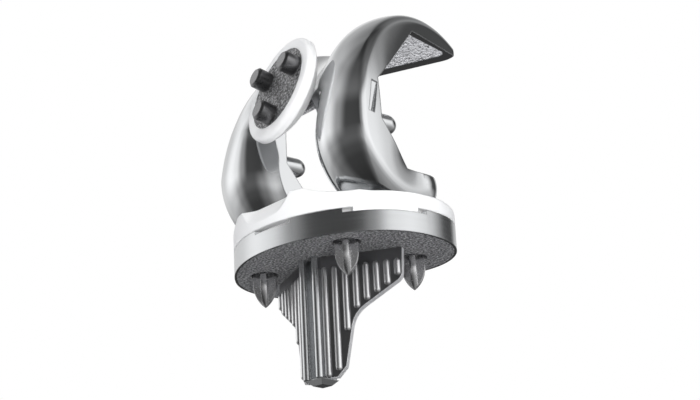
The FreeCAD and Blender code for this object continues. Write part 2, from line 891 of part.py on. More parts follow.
def patella_backing():
    """Metal disc with a shallow round seat for each peg's foot."""
    disc = Part.makeCylinder(backing_radius, backing_depth, Vector(0, 0, -backing_depth))
    disc = placed_on_patella(disc)
    for angle in patella_peg_angles.values():
        disc = disc.cut(patella_peg(angle))
    return disc


def patella_peg(angle):
    """Short round peg with a chamfered end, on a wider foot that lies flush in the disc."""
    edge = patella_peg_radius - patella_peg_chamfer
    profile = [
        Vector(0, 0, -patella_peg_foot),
        Vector(patella_peg_foot_radius, 0, -patella_peg_foot),
        Vector(patella_peg_foot_radius, 0, 0),
        Vector(patella_peg_radius, 0, 0),
        Vector(patella_peg_radius, 0, patella_peg_length - patella_peg_chamfer),
        Vector(edge, 0, patella_peg_length),
        Vector(0, 0, patella_peg_length),
        Vector(0, 0, -patella_peg_foot),
    ]
    peg = Part.Face(Part.makePolygon(profile)).revolve(Vector(0, 0, 0), Vector(0, 0, 1), 360)
    x = patella_peg_circle * math.cos(math.radians(angle))
    y = patella_peg_circle * math.sin(math.radians(angle))
    peg.Placement = patella_frame() * FreeCAD.Placement(Vector(x, y, 0), FreeCAD.Rotation())
    return peg


def main():
    os.makedirs("parts", exist_ok=True)
    save("tibial_tray", tibial_tray())
    save("tray_porous_coat", porous_coat())
    for name, (x, y) in peg_places().items():
        save(name, tray_peg(x, y))
    save("keel_column", keel_column())
    save("keel_cap", keel_cap())
    save("keel_wing_lateral", keel_wing(1))
    save("keel_wing_medial", keel_wing(-1))
    save("tibial_insert", tibial_insert())
    save("insert_locking_wire", wire_body())
    save("femoral_component", femoral_component())
    for name, low, high, zone in lining_zones():
        layer = lining(low, high, zone)
        for hand in (1, -1):
            layer = layer.cut(femur_peg(hand))
        save(name, layer)
    save("femoral_peg_lateral", femur_peg(1))
    save("femoral_peg_medial", femur_peg(-1))
    save("patella_dome", patella_dome())
    save("patella_backing", patella_backing())
    for name, angle in patella_peg_angles.items():
        save("patella_peg_" + name, patella_peg(angle))


main()
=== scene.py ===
import bpy
import bmesh
import json
import math
from mathutils import Matrix, Vector

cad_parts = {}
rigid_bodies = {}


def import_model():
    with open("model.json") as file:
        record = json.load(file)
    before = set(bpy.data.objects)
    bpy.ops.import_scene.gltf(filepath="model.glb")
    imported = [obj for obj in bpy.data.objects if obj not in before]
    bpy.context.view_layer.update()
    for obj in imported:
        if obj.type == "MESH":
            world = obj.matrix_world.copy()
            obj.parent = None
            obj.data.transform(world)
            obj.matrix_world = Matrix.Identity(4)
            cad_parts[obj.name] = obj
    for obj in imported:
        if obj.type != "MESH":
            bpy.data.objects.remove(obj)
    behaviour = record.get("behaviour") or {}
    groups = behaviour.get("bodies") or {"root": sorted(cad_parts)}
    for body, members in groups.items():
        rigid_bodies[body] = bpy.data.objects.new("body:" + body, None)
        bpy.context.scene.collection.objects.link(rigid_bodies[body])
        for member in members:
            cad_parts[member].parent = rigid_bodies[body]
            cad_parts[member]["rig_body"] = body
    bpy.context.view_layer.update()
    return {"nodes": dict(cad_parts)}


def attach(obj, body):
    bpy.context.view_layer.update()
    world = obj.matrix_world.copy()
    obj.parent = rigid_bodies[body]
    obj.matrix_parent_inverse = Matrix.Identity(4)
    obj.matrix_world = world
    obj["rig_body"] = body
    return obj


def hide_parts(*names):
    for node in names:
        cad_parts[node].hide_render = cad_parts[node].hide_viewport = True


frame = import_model()
nodes = frame["nodes"]
scene = bpy.context.scene


# Photographer's view
# A long lens just below the tray looks up at the knee's front and outer side, so the keel,
# the porous underside and the kneecap's pegs are all in sight.
eye = Vector((0.41134, -0.34294, -0.16066))
right = Vector((0.62750, 0.77722, -0.04664))
up = Vector((0.27673, -0.16662, 0.94639))
ahead = Vector((-0.72778, 0.60677, 0.31963))
lens = bpy.data.cameras.new("photographer")
lens.sensor_width = 36.0
lens.lens = 94.42
lens.shift_x = 0.0165
lens.shift_y = 0.0063
lens.clip_start = 0.01
lens.clip_end = 20.0
camera = bpy.data.objects.new("photographer", lens)
scene.collection.objects.link(camera)
turned_to_knee = Matrix((right, up, -ahead)).transposed().to_4x4()
camera.matrix_world = Matrix.Translation(eye) @ turned_to_knee
scene.camera = camera


# Studio
# White sweep and soft lamps round the part, inside a grey banded ball that only metal mirrors,
# as a photographer sets it up for chrome. The bands differ near the floor, at eye level and high.
scene.view_settings.view_transform = "Standard"
world = bpy.data.worlds.new("white studio")
world.use_nodes = True
scene.world = world
sky = world.node_tree
shown = sky.nodes.new("ShaderNodeBackground")
shown.inputs["Color"].default_value = (1, 1, 1, 1)
shown.inputs["Strength"].default_value = 1.0
ambient = sky.nodes["Background"]
ambient.inputs["Color"].default_value = (0.93, 0.95, 1.0, 1)
ambient.inputs["Strength"].default_value = 0.42
path = sky.nodes.new("ShaderNodeLightPath")
mirrored_too = sky.nodes.new("ShaderNodeMath")
mirrored_too.operation = "MAXIMUM"
sky.links.new(path.outputs["Is Camera Ray"], mirrored_too.inputs[0])
sky.links.new(path.outputs["Is Glossy Ray"], mirrored_too.inputs[1])
through_too = sky.nodes.new("ShaderNodeMath")
through_too.operation = "MAXIMUM"
sky.links.new(mirrored_too.outputs[0], through_too.inputs[0])
sky.links.new(path.outputs["Is Transmission Ray"], through_too.inputs[1])
split = sky.nodes.new("ShaderNodeMixShader")
sky.links.new(through_too.outputs[0], split.inputs[0])
sky.links.new(ambient.outputs[0], split.inputs[1])
sky.links.new(shown.outputs[0], split.inputs[2])
sky.links.new(split.outputs[0], sky.nodes["World Output"].inputs["Surface"])


def lamp(name, place, aim, size, power):
    """A square soft lamp that faces a point."""
    light = bpy.data.lights.new(name, "AREA")
    light.size = size
    light.energy = power
    holder = bpy.data.objects.new(name, light)
    scene.collection.objects.link(holder)
    holder.location = place
    holder.rotation_mode = "QUATERNION"
    holder.rotation_quaternion = (Vector(aim) - Vector(place)).to_track_quat("-Z", "Y")
    holder.visible_glossy = False


middle = (0, 0, 0.02)
lamp("key softbox", (0.75, -0.35, 0.85), middle, 0.5, 5.2)
lamp("front softbox", (-0.55, -0.95, 0.35), middle, 0.5, 2.2)
lamp("low fill", (0.60, -0.30, -0.24), middle, 0.4, 4.6)
lamp("back rim", (-0.7, 0.5, 0.5), middle, 0.5, 4.0)


surround_radius = 1.9
surround_mesh = bpy.data.meshes.new("grey surround")
ball = bmesh.new()
bmesh.ops.create_uvsphere(ball, u_segments=64, v_segments=32, radius=surround_radius)
ball.to_mesh(surround_mesh)
ball.free()
surround_mesh.polygons.foreach_set("use_smooth", [True] * len(surround_mesh.polygons))
surround_paint = bpy.data.materials.new("grey surround")
surround_paint.use_nodes = True
cloth = surround_paint.node_tree
spot = cloth.nodes.new("ShaderNodeTexCoord")
axes = cloth.nodes.new("ShaderNodeSeparateXYZ")
cloth.links.new(spot.outputs["Object"], axes.inputs[0])
bearing = cloth.nodes.new("ShaderNodeMath")
bearing.operation = "ARCTAN2"
cloth.links.new(axes.outputs["Y"], bearing.inputs[0])
cloth.links.new(axes.outputs["X"], bearing.inputs[1])


def grey_bands(value, low, high, stops):
    """Greys at stops between two ends of a value."""
    scale = cloth.nodes.new("ShaderNodeMapRange")
    scale.inputs["From Min"].default_value = low
    scale.inputs["From Max"].default_value = high
    cloth.links.new(value, scale.inputs["Value"])
    bands = cloth.nodes.new("ShaderNodeValToRGB")
    bands.color_ramp.interpolation = "EASE"
    bar = bands.color_ramp.elements
    bar.remove(bar[1])
    bar[0].position = 0.0
    for at, shade in stops:
        element = bar[0] if at == stops[0][0] else bar.new((at - low) / (high - low))
        element.color = (shade, shade, shade, 1)
    cloth.links.new(scale.outputs[0], bands.inputs["Fac"])
    return bands.outputs["Color"]


def round_bands(stops):
    """Greys at stops of bearing, in degrees, all the way round."""
    radians = [(math.radians(angle), shade) for angle, shade in stops]
    return grey_bands(bearing.outputs[0], -math.pi, math.pi, radians)


floor_greys = [
    (-180, 0.60), (-150, 0.75), (-128, 0.42), (-104, 0.14), (-76, 0.13), (-52, 0.36),
    (-22, 0.90), (20, 1.0), (60, 0.70), (95, 0.20), (120, 0.09), (162, 0.09), (180, 0.60),
]
eye_greys = [
    (-180, 0.62), (-150, 1.0), (-130, 0.85), (-110, 0.32), (-92, 0.06), (-56, 0.05),
    (-34, 0.26), (-6, 0.92), (20, 1.0), (42, 0.88), (52, 0.68), (60, 0.36), (68, 0.07),
    (94, 0.05), (110, 0.50), (132, 0.60), (160, 0.55), (180, 0.62),
]
high_greys = [
    (-180, 0.85), (-150, 0.95), (-120, 0.60), (-90, 0.15), (-40, 0.12), (10, 0.22),
    (48, 0.14), (70, 0.28), (100, 0.28), (130, 0.60), (160, 0.80), (180, 0.85),
]
height_greys = [
    (-1, 0.18), (-0.5, 0.30), (-0.3, 0.44), (-0.06, 0.76), (0.2, 1), (0.6, 0.9), (0.8, 0.5),
    (1, 0.22),
]
floor_ends, eye_starts = -0.05, 0.22
eye_ends, high_starts = 0.50, 0.60


def mixed_by_height(lower, upper, start, end):
    """One set of greys that gives way to another between two heights."""
    climb = cloth.nodes.new("ShaderNodeMapRange")
    climb.inputs["From Min"].default_value = start * surround_radius
    climb.inputs["From Max"].default_value = end * surround_radius
    cloth.links.new(axes.outputs["Z"], climb.inputs["Value"])
    mixed = cloth.nodes.new("ShaderNodeMix")
    mixed.data_type = "RGBA"
    cloth.links.new(climb.outputs["Result"], mixed.inputs[0])
    cloth.links.new(lower, mixed.inputs[6])
    cloth.links.new(upper, mixed.inputs[7])
    return mixed.outputs[2]


low_half = mixed_by_height(
    round_bands(floor_greys), round_bands(eye_greys), floor_ends, eye_starts
)
sides = mixed_by_height(low_half, round_bands(high_greys), eye_ends, high_starts)
levels = grey_bands(
    axes.outputs["Z"], -surround_radius, surround_radius,
    [(height * surround_radius, shade) for height, shade in height_greys],
)
both = cloth.nodes.new("ShaderNodeVectorMath")
both.operation = "MULTIPLY"
cloth.links.new(sides, both.inputs[0])
cloth.links.new(levels, both.inputs[1])
glow = cloth.nodes.new("ShaderNodeEmission")
cloth.links.new(both.outputs[0], glow.inputs["Color"])
glow.inputs["Strength"].default_value = 1.4
cloth.links.new(glow.outputs[0], cloth.nodes["Material Output"].inputs["Surface"])
surround_mesh.materials.append(surround_paint)
surround = bpy.data.objects.new("grey surround", surround_mesh)
scene.collection.objects.link(surround)
surround.visible_camera = False
surround.visible_diffuse = False
surround.visible_shadow = False
surround.visible_transmission = False

floor_reach, floor_drop = 3.0, -0.3
floor_mesh = bpy.data.meshes.new("floor")
floor_corners = [
    (x * floor_reach, y * floor_reach, floor_drop) for x, y in ((-1, -1), (1, -1), (1, 1), (-1, 1))
]
floor_mesh.from_pydata(floor_corners, [], [(0, 1, 2, 3)])
floor_paint = bpy.data.materials.new("pale floor")
floor_paint.use_nodes = True
floor_shader = floor_paint.node_tree.nodes["Principled BSDF"]
floor_shader.inputs["Base Color"].default_value = (0.86, 0.86, 0.87, 1)
floor_shader.inputs["Roughness"].default_value = 0.8
floor_mesh.materials.append(floor_paint)
floor = bpy.data.objects.new("floor", floor_mesh)
scene.collection.objects.link(floor)
floor.visible_glossy = False


# Tibial tray
# One machined titanium plate with a low wall, side windows and a raised key; its outer side is
# ground smooth, with faint lines along the rim from the wheel.
def start_finish(name):
    """A new material, with its node tree, its shader and the object's own coordinates."""
    material = bpy.data.materials.new(name)
    material.use_nodes = True
    tree = material.node_tree
    place = tree.nodes.new("ShaderNodeTexCoord").outputs["Object"]
    return material, tree, tree.nodes["Principled BSDF"], place


def grain(tree, place, scale, detail=3.0, stretch=(1, 1, 1)):
    """Noise in millimetre-sized lumps, stretched along the axes."""
    spread = tree.nodes.new("ShaderNodeMapping")
    spread.inputs["Scale"].default_value = stretch
    tree.links.new(place, spread.inputs["Vector"])
    noise = tree.nodes.new("ShaderNodeTexNoise")
    noise.inputs["Scale"].default_value = scale
    noise.inputs["Detail"].default_value = detail
    tree.links.new(spread.outputs[0], noise.inputs["Vector"])
    return noise.outputs["Fac"]


def spread_to(tree, value, low, high, start=0.3, end=0.7):
    """A value moved into a range."""
    change = tree.nodes.new("ShaderNodeMapRange")
    change.inputs["From Min"].default_value = start
    change.inputs["From Max"].default_value = end
    change.inputs["To Min"].default_value = low
    change.inputs["To Max"].default_value = high
    tree.links.new(value, change.inputs["Value"])
    return change.outputs["Result"]


def shades(tree, value, stops):
    """A value turned into colours at the given stops."""
    ramp = tree.nodes.new("ShaderNodeValToRGB")
    bar = ramp.color_ramp.elements
    while len(bar) < len(stops):
        bar.new(0.5)
    for element, (position, colour) in zip(bar, stops):
        element.position = position
        element.color = (*colour, 1)
    tree.links.new(value, ramp.inputs["Fac"])
    return ramp.outputs["Color"]


def relief(tree, value, strength, distance, normal=None):
    """A bump made from a value, over the normal that is given."""
    bump = tree.nodes.new("ShaderNodeBump")
    bump.inputs["Strength"].default_value = strength
    bump.inputs["Distance"].default_value = distance
    tree.links.new(value, bump.inputs["Height"])
    if normal is not None:
        tree.links.new(normal, bump.inputs["Normal"])
    return bump.outputs["Normal"]


def eased_edges(tree, radius):
    """Normals rounded over hard edges."""
    ease = tree.nodes.new("ShaderNodeBevel")
    ease.samples = 4
    ease.inputs["Radius"].default_value = radius
    return ease.outputs["Normal"]


def smooth_copy(node, name, material, crease=32.0):
    """A merged, smooth-shaded copy of a CAD node that stands for it on the same body."""
    source = nodes[node]
    mesh = source.data.copy()
    mesh.name = name
    shape = bmesh.new()
    shape.from_mesh(mesh)
    bmesh.ops.remove_doubles(shape, verts=shape.verts, dist=1e-6)
    bmesh.ops.dissolve_limit(
        shape, angle_limit=math.radians(0.3), verts=shape.verts, edges=shape.edges
    )
    bmesh.ops.recalc_face_normals(shape, faces=shape.faces)
    shape.to_mesh(mesh)
    shape.free()
    for layer in [a.name for a in mesh.attributes if a.name == "custom_normal"]:
        mesh.attributes.remove(mesh.attributes[layer])
    mesh.materials.clear()
    mesh.materials.append(material)
    mesh.polygons.foreach_set("use_smooth", [True] * len(mesh.polygons))
    mesh.set_sharp_from_angle(angle=math.radians(crease))
    piece = bpy.data.objects.new(name, mesh)
    scene.collection.objects.link(piece)
    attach(piece, source["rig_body"])
    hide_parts(node)
    return piece


ground_titanium, tree, shader, place = start_finish("ground titanium")
shader.inputs["Metallic"].default_value = 1.0
shader.inputs["Base Color"].default_value = (0.60, 0.61, 0.62, 1)
wheel_lines = grain(tree, place, 900.0, 2.0, (0.05, 0.05, 1.6))
tree.links.new(spread_to(tree, wheel_lines, 0.20, 0.26), shader.inputs["Roughness"])
tree.links.new(
    relief(tree, wheel_lines, 0.02, 0.0001, eased_edges(tree, 0.0003)), shader.inputs["Normal"]
)
tray = smooth_copy("tibial_tray", "tray_plate", ground_titanium)


# Porous coat under the tray
# Titanium beads sintered on in a thin layer that bone grows into; dark, dull and gritty.
def bead_finish(name, metallic, greys, patch_scale, bead_scale, strength, depth):
    """Sintered beads: a gritty relief of cells under three greys in small patches."""
    material, tree, shader, place = start_finish(name)
    shader.inputs["Metallic"].default_value = metallic
    shader.inputs["Roughness"].default_value = 0.55
    patches = grain(tree, place, patch_scale, 4.0)
    tree.links.new(
        shades(tree, patches, [(at, (grey, grey, grey * 1.02)) for at, grey in greys]),
        shader.inputs["Base Color"],
    )
    cells = tree.nodes.new("ShaderNodeTexVoronoi")
    cells.inputs["Scale"].default_value = bead_scale
    tree.links.new(place, cells.inputs["Vector"])
    tree.links.new(
        relief(tree, cells.outputs["Distance"], strength, depth), shader.inputs["Normal"]
    )
    return material


coat_greys = [(0.36, 0.07), (0.50, 0.20), (0.64, 0.54)]
coat_beads = bead_finish("dark tray beads", 0.35, coat_greys, 1500.0, 1300.0, 0.8, 0.0004)
coat = smooth_copy("tray_porous_coat", "tray_bead_coat", coat_beads)


# Tray pegs
# Four cross-shaped titanium pegs that bite into the bone round the keel; blasted dull, with
# bright fin edges.
peg_titanium, tree, shader, place = start_finish("peg titanium")
shader.inputs["Metallic"].default_value = 1.0
shader.inputs["Base Color"].default_value = (0.80, 0.80, 0.81, 1)
blast = grain(tree, place, 1800.0, 2.0)
tree.links.new(spread_to(tree, blast, 0.18, 0.28), shader.inputs["Roughness"])
tree.links.new(
    relief(tree, blast, 0.02, 0.0001, eased_edges(tree, 0.00025)), shader.inputs["Normal"]
)
for corner in ("front_lateral", "front_medial", "back_lateral", "back_medial"):
    peg = smooth_copy("tray_peg_" + corner, "tray_cross_peg_" + corner, peg_titanium)


# Keel spine and foot
# A titanium spine with a deep front groove between two round bars, and a chamfered foot, milled
# from the tray's own blank and drawn smooth lengthwise.
keel_titanium, tree, shader, place = start_finish("keel titanium")
shader.inputs["Metallic"].default_value = 1.0
shader.inputs["Base Color"].default_value = (0.62, 0.63, 0.64, 1)
drawn_lines = grain(tree, place, 1400.0, 2.0, (1.5, 1.5, 0.06))
tree.links.new(spread_to(tree, drawn_lines, 0.17, 0.27), shader.inputs["Roughness"])
tree.links.new(
    relief(tree, drawn_lines, 0.08, 0.0001, eased_edges(tree, 0.0003)), shader.inputs["Normal"]
)
spine = smooth_copy("keel_column", "keel_spine", keel_titanium)
foot = smooth_copy("keel_cap", "keel_foot", keel_titanium)


# Keel wings
# Two swept titanium plates with a curved lower edge and upright ribs, milled in one with the
# spine; the ribs stop short of the edge and end in round tops.
# The wings' broad faces are painted darker as shade between the ribs, the ribs lighter as a
# painted highlight, and the edge faces paler as painted light.
wing_outline = [
    (2.8, 0.8, 0), (28.3, 0.8, 0), (27.7, -9.1, 3.0), (12.6, -18.2, 9.0), (9.5, -34.0, 2.0),
    (6.8, -36.9, 0), (2.8, -36.9, 0),
]
wing_half_thickness = 1.4
wing_sweep = 27.5
wing_setback = 12.4
keel_turn = 7.5
keel_shift = -0.6
rib_radius = 1.05
rib_top = -4.3
rib_first, rib_pitch, rib_total = 4.1, 3.2, 8
rib_margin = 0.9


def ring_skin(name, rings):
    """A closed skin with flat ends through rings of equally many points, in millimetres."""
    count = len(rings[0])
    points = [tuple(v / 1000 for v in p) for ring in rings for p in ring]
    last = (len(rings) - 1) * count
    faces = [tuple(range(count))[::-1], tuple(last + i for i in range(count))]
    for r in range(0, last, count):
        for i in range(count):
            j = (i + 1) % count
            faces.append((r + i, r + j, r + count + j, r + count + i))
    mesh = bpy.data.meshes.new(name)
    mesh.from_pydata(points, [], faces)
    piece = bpy.data.objects.new(name, mesh)
    scene.collection.objects.link(piece)
    tidy = bmesh.new()
    tidy.from_mesh(mesh)
    bmesh.ops.remove_doubles(tidy, verts=tidy.verts, dist=1e-7)
    bmesh.ops.recalc_face_normals(tidy, faces=tidy.faces)
    tidy.to_mesh(mesh)
    tidy.free()
    return piece


def block(name, outline, low, high, place):
    """A prism from an outline in millimetres; place turns (u, v, w) into x, y, z."""
    ends = [[place(u, v, w) for u, v in outline] for w in (low, high)]
    return ring_skin(name, ends)


def along_y(u, v, w):
    """Outline seen from the front."""
    return (u, w, v)


def rounded(corners, steps=10):
    """An outline through corners given as (u, v, radius)."""
    outline = []
    for i, (u, v, radius) in enumerate(corners):
        here = Vector((u, v))
        before = (Vector(corners[i - 1][:2]) - here).normalized()
        after = (Vector(corners[(i + 1) % len(corners)][:2]) - here).normalized()
        if radius <= 0:
            outline.append((u, v))
            continue
        half = before.angle(after) / 2
        centre = here + (before + after).normalized() * (radius / math.sin(half))
        reach = radius / math.tan(half)
        first = here + before * reach - centre
        last = here + after * reach - centre
        start = math.atan2(first.y, first.x)
        sweep = (math.atan2(last.y, last.x) - start + math.pi) % (2 * math.pi) - math.pi
        for k in range(steps + 1):
            a = start + sweep * k / steps
            outline.append((centre.x + radius * math.cos(a), centre.y + radius * math.sin(a)))
    return outline


def settled(piece):
    """The piece's mesh with its modifiers worked in."""
    graph = bpy.context.evaluated_depsgraph_get()
    return bpy.data.meshes.new_from_object(piece.evaluated_get(graph))


def polish(piece, material, crease=30.0):
    """One material and smooth shading up to a crease."""
    piece.data.materials.clear()
    piece.data.materials.append(material)
    piece.data.polygons.foreach_set("use_smooth", [True] * len(piece.data.polygons))
    piece.data.set_sharp_from_angle(angle=math.radians(crease))


def rib_tree():
    """Geometry nodes that turn straight paths into round bars with round ends."""
    tree = bpy.data.node_groups.new("round-ended ribs", "GeometryNodeTree")
    sockets = tree.interface
    sockets.new_socket(name="Paths", in_out="INPUT", socket_type="NodeSocketGeometry")
    sockets.new_socket(name="Radius", in_out="INPUT", socket_type="NodeSocketFloat")
    sockets.new_socket(name="Finish", in_out="INPUT", socket_type="NodeSocketMaterial")
    sockets.new_socket(name="Ribs", in_out="OUTPUT", socket_type="NodeSocketGeometry")
    given = tree.nodes.new("NodeGroupInput")
    result = tree.nodes.new("NodeGroupOutput")
    lines = tree.nodes.new("GeometryNodeMeshToCurve")
    tree.links.new(given.outputs["Paths"], lines.inputs["Mesh"])
    section = tree.nodes.new("GeometryNodeCurvePrimitiveCircle")
    section.inputs["Resolution"].default_value = 20
    tree.links.new(given.outputs["Radius"], section.inputs["Radius"])
    bars = tree.nodes.new("GeometryNodeCurveToMesh")
    bars.inputs["Fill Caps"].default_value = True
    tree.links.new(lines.outputs["Curve"], bars.inputs["Curve"])
    tree.links.new(section.outputs["Curve"], bars.inputs["Profile Curve"])
    end = tree.nodes.new("GeometryNodeMeshUVSphere")
    end.inputs["Segments"].default_value = 20
    end.inputs["Rings"].default_value = 10
    tree.links.new(given.outputs["Radius"], end.inputs["Radius"])
    ends = tree.nodes.new("GeometryNodeInstanceOnPoints")
    tree.links.new(given.outputs["Paths"], ends.inputs["Points"])
    tree.links.new(end.outputs["Mesh"], ends.inputs["Instance"])
    together = tree.nodes.new("GeometryNodeJoinGeometry")
    tree.links.new(bars.outputs["Mesh"], together.inputs["Geometry"])
    tree.links.new(ends.outputs["Instances"], together.inputs["Geometry"])
    real = tree.nodes.new("GeometryNodeRealizeInstances")
    tree.links.new(together.outputs["Geometry"], real.inputs["Geometry"])
    painted = tree.nodes.new("GeometryNodeSetMaterial")
    tree.links.new(real.outputs["Geometry"], painted.inputs["Geometry"])
    tree.links.new(given.outputs["Finish"], painted.inputs["Material"])
    tree.links.new(painted.outputs["Geometry"], result.inputs["Ribs"])
    return tree


def lower_edge(outline, x):
    """Height of the wing's lower edge at a distance from the spine."""
    heights_there = []
    for (u, v), (next_u, next_v) in zip(outline, outline[1:] + outline[:1]):
        if min(u, next_u) <= x < max(u, next_u):
            heights_there.append(v + (next_v - v) * (x - u) / (next_u - u))
    return min(heights_there)


ribs_tree = rib_tree()
# The wing plates' edge faces get a pale, less metallic base colour: painted light on the lower
# edge, which faces down and away from the lamps.
edge_painted_light, tree, shader, place = start_finish("titanium edge with painted light")
shader.inputs["Metallic"].default_value = 0.6
shader.inputs["Base Color"].default_value = (0.86, 0.86, 0.87, 1)
edge_marks = grain(tree, place, 1600.0, 2.0)
tree.links.new(spread_to(tree, edge_marks, 0.35, 0.45), shader.inputs["Roughness"])
tree.links.new(
    relief(tree, edge_marks, 0.03, 0.0001, eased_edges(tree, 0.0006)), shader.inputs["Normal"]
)
# The ribs get a lighter base colour than the keel's own titanium: a painted highlight.
rib_painted_highlight, tree, shader, place = start_finish("milled rib with painted highlight")
shader.inputs["Metallic"].default_value = 1.0
shader.inputs["Base Color"].default_value = (0.80, 0.80, 0.81, 1)
rib_marks = grain(tree, place, 1500.0, 2.0, (1.5, 1.5, 0.06))
tree.links.new(spread_to(tree, rib_marks, 0.26, 0.36), shader.inputs["Roughness"])
# The wing plates' broad faces get a dark base colour: painted shade for the gaps between the ribs.
web_painted_shade, tree, shader, place = start_finish("milled titanium web with painted shade")
shader.inputs["Metallic"].default_value = 1.0
shader.inputs["Base Color"].default_value = (0.30, 0.30, 0.31, 1)
mill_marks = grain(tree, place, 1400.0, 2.0, (1.5, 1.5, 0.06))
tree.links.new(spread_to(tree, mill_marks, 0.28, 0.38), shader.inputs["Roughness"])
tree.links.new(relief(tree, mill_marks, 0.03, 0.0001), shader.inputs["Normal"])
for side, hand in (("lateral", 1), ("medial", -1)):
    seat = (
        Matrix.Rotation(math.radians(keel_turn), 4, "Z")
        @ Matrix.Translation((keel_shift / 1000, 0, 0))
        @ Matrix.Diagonal((hand, 1, 1, 1))
        @ Matrix.Translation((0, -wing_setback / 1000, 0))
        @ Matrix.Rotation(math.radians(wing_sweep), 4, "Z")
    )
    outline = rounded(wing_outline)
    plate = block(
        "keel_web_" + side, outline, -wing_half_thickness, wing_half_thickness, along_y
    )
    polish(plate, web_painted_shade)
    plate.data.materials.append(edge_painted_light)
    # Side faces take the dark web with painted shade; every other face takes the pale edge with
    # painted light.
    for face in plate.data.polygons:
        face.material_index = 0 if abs(face.normal.y) > 0.9 else 1
    points = []
    for i in range(rib_total):
        x = rib_first + rib_pitch * i
        under_rib = [lower_edge(outline, x + reach) for reach in (-rib_radius, rib_radius)]
        rib_foot = min(max(under_rib) + rib_margin, rib_top - rib_radius)
        for y in (-wing_half_thickness, wing_half_thickness):
            points.append((x / 1000, y / 1000, rib_top / 1000))
            points.append((x / 1000, y / 1000, rib_foot / 1000))
    lines = [(i, i + 1) for i in range(0, len(points), 2)]
    paths = bpy.data.meshes.new("rib paths")
    paths.from_pydata(points, lines, [])
    ribs = bpy.data.objects.new("keel_ribs_" + side, paths)
    scene.collection.objects.link(ribs)
    growth = ribs.modifiers.new("ribs", "NODES")
    growth.node_group = ribs_tree
    given = [item for item in ribs_tree.interface.items_tree if item.in_out == "INPUT"]
    keys = {item.name: item.identifier for item in given}
    growth[keys["Radius"]] = rib_radius / 1000
    growth[keys["Finish"]] = rib_painted_highlight
    grown = settled(ribs)
    ribs.modifiers.clear()
    ribs.data = grown
    polish(ribs, rib_painted_highlight)
    for piece in (plate, ribs):
        piece.data.transform(seat)
        if hand < 0:
            piece.data.flip_normals()
        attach(piece, "tibial_base")
    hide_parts("keel_wing_" + side)


# Bearing insert
# White polyethylene, moulded and machined with two dishes for the condyles; it snaps into the
# tray and its front lip is hollowed for the tendon.
white_plastic, tree, shader, place = start_finish("white bearing plastic")
shader.inputs["Base Color"].default_value = (0.86, 0.86, 0.855, 1)
shader.inputs["Subsurface Weight"].default_value = 0.12
shader.inputs["Subsurface Radius"].default_value = (0.002, 0.002, 0.002)
moulding = grain(tree, place, 700.0, 3.0)
tree.links.new(spread_to(tree, moulding, 0.30, 0.42), shader.inputs["Roughness"])
tree.links.new(
    relief(tree, moulding, 0.05, 0.0001, eased_edges(tree, 0.0008)), shader.inputs["Normal"]
)
insert = smooth_copy("tibial_insert", "bearing_insert", white_plastic)
insert.visible_glossy = False


# Locking wire
# A thin bow of drawn cobalt-chrome wire that springs into a groove between the insert and the
# tray's front wall and holds the insert down; it is hidden once the insert is in.
wire = smooth_copy("insert_locking_wire", "locking_bow", keel_titanium, 60.0)


# Femoral shell
# Cast cobalt-chrome, ground and polished to a mirror outside: two condyles that run together
# into the kneecap's groove and a flange that slopes up to the outer side.
knee_y, knee_z = 2.1, 34.0
groove_y = 20.9
condyle_radius = 25.0
tip_angle, tip_radius = -108.0, 9.0
tip_turn_count, tip_turn_step = 45, 4.0
flange_end, ring_step = 118.0, 2.0
crest_start, crest_peak, crest_low = 43.8, 45.4, 39.3
crest_peak_turn, crest_low_run = 48, 118
notch_floor, notch_floor_rise = 29.8, 5.3
groove_floor, groove_run_in = 39.3, 26
half_width, tip_narrowing = 35.5, 2.9
flange_narrowing, flange_narrowing_turn = 13.1, 101
groove_shift = 2.0
ridge_place, ridge_place_fall = 23.0, 0.0765
outer_round = 20.0
valley_widest = 26.5
inner_round_back, inner_round_front = 13.4, 4.5
edge_round, edge_round_gain, edge_gain_start = 3.2, 4.8, -20.0
skin_depth, wall_crown = 15.2, 1.6
wall_steps, edge_steps, outer_steps, inner_steps, valley_steps = 12, 8, 10, 14, 12


def crest_at(turn):
    """Distance of the ridge tops from the groove's axis."""
    if turn < 0:
        return crest_start
    if turn < crest_peak_turn:
        rise = (1 - math.cos(math.pi * turn / crest_peak_turn)) / 2
        return crest_start + (crest_peak - crest_start) * rise
    fall = (1 + math.cos(math.pi * (turn - crest_peak_turn) / crest_low_run)) / 2
    return crest_low + (crest_peak - crest_low) * fall


def groove_at(turn):
    """Distance of the groove's floor from that axis."""
    if turn < 0:
        return notch_floor + notch_floor_rise * min(1.0, turn / tip_angle)
    left = (1 + math.cos(math.pi * min(1.0, turn / groove_run_in))) / 2
    return groove_floor - (groove_floor - notch_floor) * left


def half_width_at(turn):
    """Half of the shell's width."""
    if turn < 0:
        share = min(1.0, turn / tip_angle)
        return half_width - tip_narrowing * share ** 3 * (4 - 3 * share)
    narrowing = 1 - math.cos(math.pi / 2 * turn / flange_narrowing_turn)
    return half_width - flange_narrowing * narrowing


